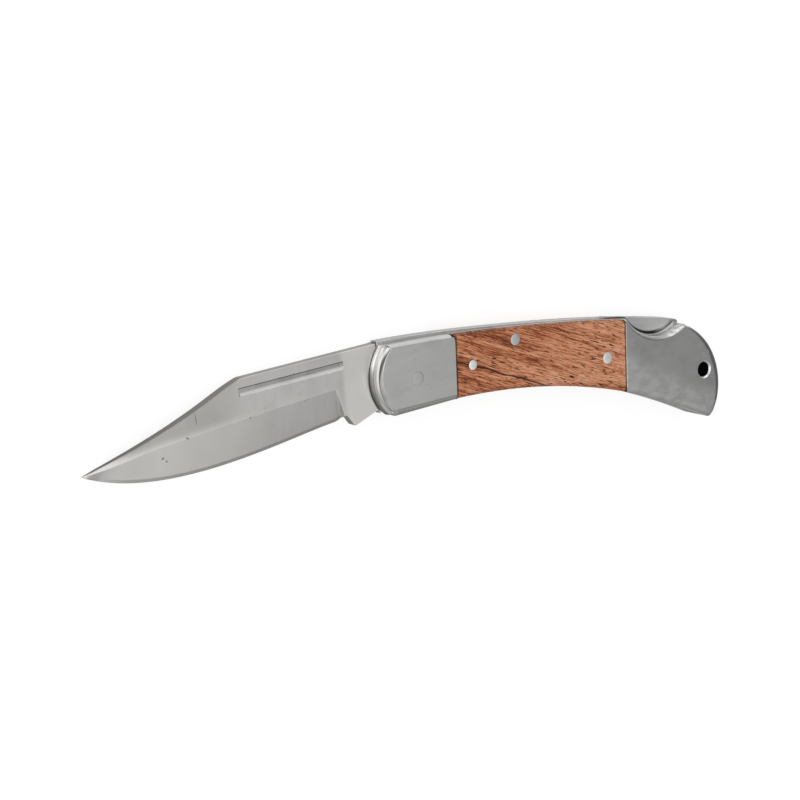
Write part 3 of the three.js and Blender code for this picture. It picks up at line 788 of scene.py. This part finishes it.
def liner():
    notch = outside(CUT_CENTRE, CUT_RADIUS)
    top = stretch(back, front_side(LINER_RADIUS), notch)
    round_end = stretch(butt, notch)
    low = stretch(belly, front_side(LINER_RADIUS))
    cut = arc_between(CUT_CENTRE, CUT_RADIUS, round_end[-1], top[0])
    nose = arc_between(FRONT_CENTRE, LINER_RADIUS, top[-1], low[0])
    return [join((cut, *CRISP), (top, *CRISP), (nose, (0.55,), (4.5,)), (low, *CRISP),
                 (butt_corner(low[-1], round_end[0]), *CRISP), (round_end, *CRISP))]


side_rim = rim(SIDE_Z, HANDLE_THICKNESS, 0.06, 0.95, 1.3, 7)
NOSE_HEIGHT = 2.7
NOSE_PROFILE = ((0, 1, 1), (0.02, 0.85, 0.93), (0.06, 0.72, 0.87), (0.12, 0.62, 0.81),
                (0.22, 0.50, 0.73), (0.36, 0.38, 0.66), (0.50, 0.28, 0.605), (0.64, 0.20, 0.565),
                (0.74, 0.16, 0.55), (0.775, 0.13, 0.50), (0.80, 0.11, 0.39), (0.83, 0.09, 0.235),
                (0.865, 0.06, 0.11), (0.90, 0.03, 0.04), (0.95, 0.01, 0.01), (1, 0, 0))
front_rim = shaped_rim(SIDE_Z, HANDLE_THICKNESS, 0.06, 1.25, NOSE_HEIGHT, NOSE_PROFILE)
liner_rim = rim(LINER_Z, SIDE_Z, 0.14, 0.14, 1.6, 3)
print("rings up a bolster's rim:", len(front_rim))

# %% [markdown]
# One half of the handle mirrors the other, so a loop makes both. Every pin's hole is bored where
# the frame has the pin. The pivot shows on the upper side alone.

# %% Make both sides
def dress(piece, slot, *nodes, body="handle"):
    """The piece stands for nodes of the frame and rides on their body; its slot is not used."""
    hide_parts(*nodes)
    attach(piece, body)
    return piece


BUTT_RIVETS = ("butt_rivet_upper", "butt_rivet_lower")
for half, mirrored in (("upper", False), ("lower", True)):
    pivot = [pin_hole("pivot_pin", 0.025, 0.02)] if half == "upper" else []
    rivets = [pin_hole("scale_rivet_front_" + half), pin_hole("scale_rivet_rear_" + half)]
    bar_pin = [pin_hole("lock_bar_pin")]
    butt_holes = [pin_hole(rivet, 0.015, 0.02) for rivet in BUTT_RIVETS]
    cord_hole = [hole(LANYARD, LANYARD_RADIUS, 0.48, 0.6)]
    dress(plate("bolster_front_" + half, front_bolster() + pivot, front_rim, bolster_steel, 0.06,
                mirrored), "bolster_steel", "front_bolster_" + half)
    dress(plate("scale_" + half, wood_scale() + rivets + bar_pin, side_rim, wood, 0.06,
                mirrored), "scale_wood", "wood_scale_" + half)
    dress(plate("bolster_rear_" + half, rear_bolster() + butt_holes + cord_hole, side_rim,
                rear_steel, 0.06, mirrored), "bolster_steel", "rear_bolster_" + half)
    through = [pin_hole("pivot_pin"), *rivets, *bar_pin, *butt_holes,
               hole(LANYARD, LINER_BORE_RADIUS, 0.05, 0.3)]
    dress(plate("side_liner_" + half, liner() + through, liner_rim, liner_steel, 0.14, mirrored),
          "liner_steel", "liner_" + half)
print("sides made")

# %% [markdown]
# The lock bar is the same kind of plate, but it stays inside the thickness of the well. Its back
# is a smooth curve flush with the blade's spine, and its tail fills the thumb cut-out.

# %% Lock bar
BAR_FRONT_X = -9.2
BAR_END_X = BUTT_X - 11.0
WELL_FLOOR = 4.1
CAM_RADIUS = 6.6
LOCK_PIN = (33.3, 3.4)
BOSS_RADIUS = 2.35
BAR_DEPTH = 4.1

bar_back = curve((BAR_FRONT_X, 11.5), (27.5, 9.8), (BAR_END_X + 0.2, -2.35), (BAR_END_X, -4.7), 160)


def lock_bar():
    face = arc((0, 0), CAM_RADIUS + 0.2, 130, 103, 10)
    boss = arc(LOCK_PIN, BOSS_RADIUS, 225, 315, 14)
    cut_x = CUT_CENTRE[0]
    tail = CUT_CENTRE[1] - CUT_RADIUS - 0.8
    places = (LOCK_PIN[0] + 10, LOCK_PIN[0] + 22, cut_x - 18)
    under = [(x, np.interp(x, *bar_back.T) - BAR_DEPTH) for x in places]
    points = np.concatenate([
        [(BAR_FRONT_X, 5.0)], face,
        [(face[-1][0] + 0.9, face[-1][1] + 1.4), (3, CAM_RADIUS + 1.3), (10, CAM_RADIUS - 0.5),
         (21, CAM_RADIUS - 1.2)],
        boss, under,
        [(cut_x - 9, tail + 1.7), (cut_x - 3, tail), (BAR_END_X - 1, tail - 0.1 * (BAR_END_X + 2 - cut_x)),
         (BAR_END_X, tail)],
        bar_back[::-1][:-1], [(BAR_FRONT_X, 11.5)]])
    return [(points, even_bevel(points, 0.16)), pin_hole("lock_bar_pin")]


bar = plate("rocker_bar", lock_bar(), rim(WELL_FLOOR, WELL_TOP, 0.16, 0.16, 1.6, 3), bar_steel, 0.16)
dress(bar, "bar_steel", "lock_bar", body="lock_bar")
print("lock bar", [round(v * 1000, 1) for v in bar.dimensions])

# %% [markdown]
# The blade is a grid: columns run from edge to spine, rows from tip to tang. The rows follow the
# lines that a grinder leaves, which are the sharpened edge, the grind line, the groove and the
# spine, and the columns lean with the plunge line. Each grid point then only needs its thickness.

# %% Blade
BLADE_REACH = 97.7
TIP_DROP = 3.6
CLIP_LENGTH = 46.6
CLIP_X = -BLADE_REACH + CLIP_LENGTH
RISE_X = -24.5
HEEL_X = -21.2
HEEL_DROP = 6.9
PLUNGE_START, PLUNGE_LEAN, PLUNGE_END = -30.0, 1.6, -18.2
REAR_X = -9.6
TIP_THICKNESS = 0.7
EDGE_THICKNESS = 0.55
CUTTING_EDGE = 0.08
SHARPENED_HEIGHT = 0.9
BROKEN_EDGE = 0.14
GRIND_HEIGHT = 1.7
GRIND_SINK = 4.4
TAPER_LENGTH = 29
GROOVE = (-52.2, -20.2, 6.4, 8.6)
GROOVE_DEPTH = 0.5
GROOVE_PROFILE = ((0.12, 0.26), (0.28, 0.66), (0.42, 0.92), (0.86, 0.90), (0.975, 0.82), (1.0, 0.0))

clip = curve((-BLADE_REACH, -TIP_DROP + 0.35), (-65, 3.9), (-59.9, 8.8), (CLIP_X, SPINE_HEIGHT))
edge = curve((-BLADE_REACH, -TIP_DROP), (-74.2, -16.1), (-34.6, -HEEL_DROP), (HEEL_X, -HEEL_DROP))
rise = curve((-24.4, -HEEL_DROP - 0.12), (-23.3, -7.0), (-22.2, -6.45), (HEEL_X, -5.95), 8)
kick = np.array([(HEEL_X + 0.02, -5.93), (-20.9, -5.85), (-20.2, -6.7), (-18.95, -8.75), (-18.4, -9.1),
                 (-11.8, -6.9), (REAR_X, -6.81)])
bottom_line = np.concatenate([edge[edge[:, 0] < rise[0, 0]], rise, kick])

crowded = np.linspace(0, 1, 90) ** 1.35
places = np.concatenate([
    -BLADE_REACH + CLIP_LENGTH * crowded,
    np.linspace(CLIP_X, RISE_X, 90),
    np.linspace(RISE_X, HEEL_X, 34),
    np.linspace(HEEL_X + 0.02, REAR_X, 60),
    kick[:, 0]])
LEANING = ((PLUNGE_START, HEEL_X, PLUNGE_END), (PLUNGE_START, HEEL_X - PLUNGE_LEAN, PLUNGE_END))


def top_place(x):
    """Where a column that starts at x on the edge reaches the grind line."""
    return np.interp(x, *LEANING) if PLUNGE_START < x < PLUNGE_END else x


def foot_of(x):
    """The column that passes x above the grind line."""
    return np.interp(x, LEANING[1], LEANING[0]) if PLUNGE_START < x < PLUNGE_END else x


for end in GROOVE[:2]:
    inwards = 1 if end == GROOVE[0] else -1
    places = np.append(places, [foot_of(end + inwards * step) for step in (0, 0.1, 0.22, 0.34)])
places = np.unique(np.round(places, 4))
print("columns along the blade:", len(places))

# %% [markdown]
# Each column is reckoned from the bottom line, the grind line and the spine at its place. The rows
# of the groove sink below the flat. Both sides of the grid are then closed into one solid.

# %% Blade surface
def grind_line(x):
    """The grind line sinks from the heel towards the tip."""
    run = max(0.0, (HEEL_X - x) / (HEEL_X + BLADE_REACH))
    return GRIND_HEIGHT - GRIND_SINK * run ** 1.3


def blade_column(x):
    """Points (x, y, half thickness, groove depth) of one column, from the edge up to the spine."""
    low = np.interp(x, *bottom_line.T)
    upper_x = top_place(x)
    spine = np.interp(upper_x, *clip.T) if upper_x < CLIP_X else SPINE_HEIGHT
    full = (TIP_THICKNESS + (BLADE_THICKNESS - TIP_THICKNESS)
            * math.sqrt(min(1.0, max(0.0, x + BLADE_REACH) / TAPER_LENGTH))) / 2
    room = spine - low
    full = min(full, 0.1 + 0.25 * room)
    ground = min(1.0, max(0.0, (HEEL_X - x) / 0.8))
    ground = ground * ground * (3 - 2 * ground)
    bevel = min(SHARPENED_HEIGHT, room * 0.25) * ground + BROKEN_EDGE * (1 - ground)
    crest = max(low + bevel + room * 0.3, min(grind_line(x), spine - room * 0.25))
    groove_low, groove_high = GROOVE[2], GROOVE[3]
    if upper_x < GROOVE[0]:
        line_there = grind_line(GROOVE[0])
        shares = [(level - line_there) / (SPINE_HEIGHT - line_there) for level in (groove_low, groove_high)]
        groove_low, groove_high = (crest + share * (spine - crest) for share in shares)
    edge_cut = min(BROKEN_EDGE, room * 0.1, full / 3)
    shoulder = EDGE_THICKNESS / 2 * ground + full * (1 - ground)
    sharp = CUTTING_EDGE / 2 * ground + (full - 0.12) * (1 - ground)
    rows = [(low, sharp, 0.0), (low + bevel, shoulder, 0.0)]
    for i in range(1, 9):
        share = i / 8
        rows.append((low + bevel + (crest - low - bevel) * share, shoulder + (full - shoulder) * share, 0.0))
    for i in range(1, 5):
        rows.append((crest + (groove_low - crest) * i / 4, full, 0.0))
    inside = min(upper_x - GROOVE[0], GROOVE[1] - upper_x)
    deep = GROOVE_DEPTH * min(1.0, max(0.0, inside / 0.3))
    for share, depth in GROOVE_PROFILE:
        rows.append((groove_low + (groove_high - groove_low) * share, full, deep * depth))
    for i in range(1, 4):
        rows.append((groove_high + (spine - edge_cut - groove_high) * i / 3, full, 0.0))
    rows.append((spine, full - edge_cut, 0.0))
    column = []
    for y, half, depth in rows:
        share = min(1.0, max(0.0, (y - low) / (GRIND_HEIGHT - low)))
        column.append((x + (upper_x - x) * share, y, half, depth))
    return column


columns = np.array([blade_column(x) for x in places])
COLUMNS, ROWS = columns.shape[:2]
heights = (MIDDLE_Z + columns[..., 2] - columns[..., 3], MIDDLE_Z - columns[..., 2])
upper, lower = (np.concatenate([columns[..., :2], height[..., None]], -1) for height in heights)
GRIND_ROW, GROOVE_ROW, GROOVE_FLOOR_ROW, GROOVE_END_ROW = 9, 13, 16, 19
groove_ends = [int(np.argmin(np.abs(places - foot_of(end)))) for end in GROOVE[:2]]


def grid_solid(name, upper, lower, material, sharp_rows, sharp_columns):
    """A closed solid between two grids of points, with sharp lines along some rows and columns."""
    m, n = upper.shape[:2]
    points = np.concatenate([upper.reshape(-1, 3), lower.reshape(-1, 3)])
    faces = []

    def a(i, j):
        return i * n + j

    def b(i, j):
        return (m + i) * n + j

    for i in range(m - 1):
        for j in range(n - 1):
            faces.append((a(i, j), a(i + 1, j), a(i + 1, j + 1), a(i, j + 1)))
            faces.append((b(i, j + 1), b(i + 1, j + 1), b(i + 1, j), b(i, j)))
        faces.append((b(i, 0), b(i + 1, 0), a(i + 1, 0), a(i, 0)))
        faces.append((a(i, n - 1), a(i + 1, n - 1), b(i + 1, n - 1), b(i, n - 1)))
    for j in range(n - 1):
        faces.append((a(0, j), a(0, j + 1), b(0, j + 1), b(0, j)))
        faces.append((b(m - 1, j), b(m - 1, j + 1), a(m - 1, j + 1), a(m - 1, j)))
    piece = make_mesh(name, points, faces, material)
    sharp = set()
    for j in sharp_rows:
        for i in range(m - 1):
            sharp.add((a(i, j), a(i + 1, j)))
            sharp.add((b(i, j), b(i + 1, j)))
    for i, rows in sharp_columns:
        for j in range(rows[0], rows[1]):
            sharp.add((a(i, j), a(i, j + 1)))
            sharp.add((b(i, j), b(i, j + 1)))
    for extra in (spine_steel, groove_steel, groove_shade_and_dirt):
        piece.data.materials.append(extra)
    start, end = groove_ends
    # Groove steel, index 2, covers the groove's floor. Index 3 is the dark steel of its upper wall and the
    # strip beside it: painted shade with some dirt.
    for face in piece.data.polygons:
        rows = [corner % n for corner in face.vertices]
        across = [corner // n for corner in face.vertices]
        if min(rows) == n - 1:
            face.material_index = 1
        elif (GROOVE_FLOOR_ROW <= min(rows) < GROOVE_END_ROW
              and start <= min(across) and max(across) <= end):
            face.material_index = 3 if min(rows) > GROOVE_FLOOR_ROW else 2
    for line in piece.data.edges:
        if tuple(sorted(line.vertices)) in sharp:
            line.use_edge_sharp = True
    return piece


sharp_rows = [0, 1, GRIND_ROW, GROOVE_ROW, GROOVE_FLOOR_ROW, GROOVE_END_ROW - 1, GROOVE_END_ROW,
              ROWS - 2, ROWS - 1]
sharp_columns = [(0, (0, ROWS - 1)), (COLUMNS - 1, (0, ROWS - 1))]
sharp_columns += [(i, (GROOVE_ROW, GROOVE_END_ROW)) for i in groove_ends]
blade = grid_solid("ground_blade", upper, lower, blade_steel, sharp_rows, sharp_columns)
print("blade", [round(v * 1000, 1) for v in blade.dimensions], "mm")

# %% [markdown]
# The tang turns inside the handle, so the frame's own shape is exact enough there. A copy of that
# node is merged, cut off behind the ground blade and joined to it as one piece.

# %% Tang
def tang_from_frame(piece, cut_x):
    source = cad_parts["blade"]
    work = bmesh.new()
    work.from_mesh(source.data)
    bmesh.ops.remove_doubles(work, verts=work.verts, dist=1e-7)
    everything = work.verts[:] + work.edges[:] + work.faces[:]
    bmesh.ops.bisect_plane(work, geom=everything, plane_co=(cut_x * MM, 0, 0), plane_no=(1, 0, 0),
                           clear_inner=True)
    rim_edges = [line for line in work.edges if line.is_boundary]
    bmesh.ops.holes_fill(work, edges=rim_edges)
    for face in work.faces:
        face.material_index = 0
        face.smooth = False
    mesh = bpy.data.meshes.new("tang")
    work.to_mesh(mesh)
    work.free()
    mesh.materials.append(blade_steel)
    tang = put("tang", mesh)
    with bpy.context.temp_override(active_object=piece, selected_editable_objects=[piece, tang]):
        bpy.ops.object.join()
    return piece


blade = tang_from_frame(blade, REAR_X)
dress(blade, "blade_steel", "blade", body="blade")
print("blade with its tang:", len(blade.data.polygons), "faces")

# %% [markdown]
# Pins and rivets repeat, so a geometry tree makes them: a short cylinder on each point of a small
# mesh, whose radius and height the point carries. The end faces are extruded twice, which breaks
# the edge and gives a low crown, as a peened and polished pin has.

# %% Pins
def pin_tree():
    tree = bpy.data.node_groups.new("turned pins", "GeometryNodeTree")
    face = tree.interface
    face.new_socket("Geometry", in_out="INPUT", socket_type="NodeSocketGeometry")
    keys = {}
    for name, kind in (("Sides", "Int"), ("Edge Share", "Float"), ("Crown", "Float"),
                       ("Metal", "Material")):
        socket = face.new_socket(name, in_out="INPUT", socket_type="NodeSocket" + kind)
        keys[name] = socket.identifier
    face.new_socket("Geometry", in_out="OUTPUT", socket_type="NodeSocketGeometry")
    build = Tree(tree)
    given = build.node("NodeGroupInput")
    radius, height = (build.node("GeometryNodeInputNamedAttribute", {"data_type": "FLOAT"}, {"Name": key})
                      for key in ("pin_radius", "pin_height"))
    stub = build.node("GeometryNodeMeshCylinder", {"fill_type": "NGON"},
                      {"Vertices": given.out("Sides"), "Radius": 1.0, "Depth": 1.0})
    points = build.node("GeometryNodeMeshToPoints", None, {"Mesh": given})
    size = build.node("ShaderNodeCombineXYZ", None, {0: radius, 1: radius, 2: height})
    placed = build.node("GeometryNodeInstanceOnPoints", None,
                        {"Points": points, "Instance": stub, "Scale": size})
    solid = build.node("GeometryNodeRealizeInstances", None, {"Geometry": placed})
    normal = build.node("GeometryNodeInputNormal")
    up = build.node("ShaderNodeSeparateXYZ", None, {0: normal}, output=2)
    ends = (up * up).above(0.9)
    for share, rise in ((1 - given.out("Edge Share"), 0.4), (0.6, 0.6)):
        grown = build.node("GeometryNodeExtrudeMesh", {"mode": "FACES"},
                           {"Mesh": solid, "Selection": ends, "Offset Scale": given.out("Crown") * rise,
                            "Individual": True})
        solid = build.node("GeometryNodeScaleElements", {"domain": "FACE"},
                           {"Geometry": grown, "Selection": grown.out("Top"), "Scale": share})
        ends = grown.out("Top")
    finished = build.node("GeometryNodeSetMaterial", None,
                          {"Geometry": solid, "Material": given.out("Metal")})
    build.node("NodeGroupOutput", None, {0: finished})
    return tree, keys


pins_tree, pin_keys = pin_tree()
PIN_SIDES = 48


def make_pins(name, nodes, metal, crown, broken, slot):
    """One mesh for pins of the same metal, placed and sized by the frame's own pins."""
    seed = bpy.data.meshes.new(name)
    boxes = [tuple(np.array(corner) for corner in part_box(node)) for node in nodes]
    seed.from_pydata([tuple((low + high) / 2) for low, high in boxes], [], [])
    for key, sizes in (("pin_radius", [(high[0] - low[0]) / 2 for low, high in boxes]),
                       ("pin_height", [high[2] - low[2] - 2 * crown * MM for low, high in boxes])):
        held = seed.attributes.new(key, "FLOAT", "POINT")
        held.data.foreach_set("value", sizes)
    carrier = put(name + " seed", seed)
    modifier = carrier.modifiers.new("pins", "NODES")
    modifier.node_group = pins_tree
    for key, value in (("Sides", PIN_SIDES), ("Edge Share", broken), ("Crown", crown * MM), ("Metal", metal)):
        modifier[pin_keys[key]] = value
    view = bpy.context.evaluated_depsgraph_get()
    mesh = bpy.data.meshes.new_from_object(carrier.evaluated_get(view))
    bpy.data.objects.remove(carrier)
    mesh.name = name
    mesh.shade_smooth()
    mesh.set_sharp_from_angle(angle=math.radians(30))
    dress(put(name, mesh), slot, *nodes)
    print(name, len(nodes), "pins,", len(mesh.polygons), "faces")


make_pins("scale_rivets", [f"scale_rivet_{end}_{half}" for end in ("front", "rear")
                           for half in ("upper", "lower")], rivet_metal, 0.05, 0.08, "rivet_metal")
make_pins("rocker_pin", ["lock_bar_pin"], pin_steel, 0.05, 0.08, "bar_steel")
make_pins("flush_pivot", ["pivot_pin"], bolster_steel, 0.01, 0.02, "bolster_steel")
make_pins("butt_rivets", BUTT_RIVETS, rear_steel, 0.005, 0.01, "bolster_steel")

# %% [markdown]
# Some pieces are seen only through a gap or not at all: the back spring, the butt spacer and the
# washers. The frame's own nodes stay, and take a worked finish.

# %% Hidden pieces
for node, finish in (("back_spring", inner_steel), ("butt_spacer", inner_steel),
                     ("pivot_washer_upper", washer_bronze), ("pivot_washer_lower", washer_bronze)):
    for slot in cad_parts[node].material_slots:
        slot.material = finish
print("hidden pieces finished")

# %% [markdown]
# The stage is a pale floor and soft studio light. The floor's own colour plus a little light that
# only the camera, glass and metal see make it white, and the knife's shadow stays on it. Large
# soft lamps stand where the bevels mirror them.

# %% Floor, lamps and world
FLOOR_REACH, FLOOR_LEVEL = 6000.0, -0.2
FLOOR_GREY = 0.38
FLOOR_GLOW = 0.77
AMBIENT = 0.30


def floor_material():
    material = bpy.data.materials.new("floor")
    material.use_nodes = True
    nodes = material.node_tree.nodes
    nodes.clear()
    tree = Tree(material.node_tree)
    path = tree.node("ShaderNodeLightPath")
    _, y, _ = tree.axes(tree.place())
    # Painted light: what the metal mirrors of the floor glows brighter behind the knife than in front, as if
    # the table were lit from the back.
    mirrored = path.out("Is Glossy Ray") * y.ramp(-6.0, 12.0, 0.25, 0.9)
    seen = (path.out("Is Camera Ray") + path.out("Is Transmission Ray")) * FLOOR_GLOW + mirrored
    matt = tree.node("ShaderNodeBsdfDiffuse", None, {"Color": (FLOOR_GREY, FLOOR_GREY, FLOOR_GREY, 1.0)})
    glow = tree.node("ShaderNodeEmission", None, {"Strength": seen})
    both = tree.node("ShaderNodeAddShader", None, {0: matt, 1: glow})
    tree.node("ShaderNodeOutputMaterial", None, {"Surface": both})
    return material


corners = [(FLOOR_REACH * x, FLOOR_REACH * y, FLOOR_LEVEL) for x, y in ((-1, -1), (1, -1), (1, 1), (-1, 1))]
make_mesh("floor", corners, [(0, 1, 2, 3)], floor_material())


def soft_lamp(name, direction, distance, width, height, radiance):
    """An area lamp that faces the knife from a direction; radiance is what a mirror would show."""
    lamp = bpy.data.lights.new(name, "AREA")
    lamp.shape = "RECTANGLE"
    lamp.size, lamp.size_y = width, height
    lamp.energy = radiance * math.pi * width * height
    holder = put(name, lamp)
    way = Vector(direction).normalized()
    holder.location = way * distance
    holder.rotation_euler = way.to_track_quat("Z", "Y").to_euler()


soft_lamp("ceiling", (0.05, -0.15, 1.0), 0.9, 1.05, 1.05, 0.72)
soft_lamp("left window", (-0.80, 0.12, 0.60), 1.0, 1.5, 0.9, 0.93)
soft_lamp("back window", (0.45, 0.78, 0.50), 1.1, 0.9, 0.7, 1.35)

world = bpy.data.worlds.new("studio")
world.use_nodes = True
world.node_tree.nodes["Background"].inputs["Color"].default_value = (1.0, 1.0, 1.0, 1.0)
world.node_tree.nodes["Background"].inputs["Strength"].default_value = AMBIENT
bpy.context.scene.world = world
bpy.context.scene.view_settings.view_transform = "Standard"
print("lamps:", [lamp.name for lamp in bpy.data.lights])
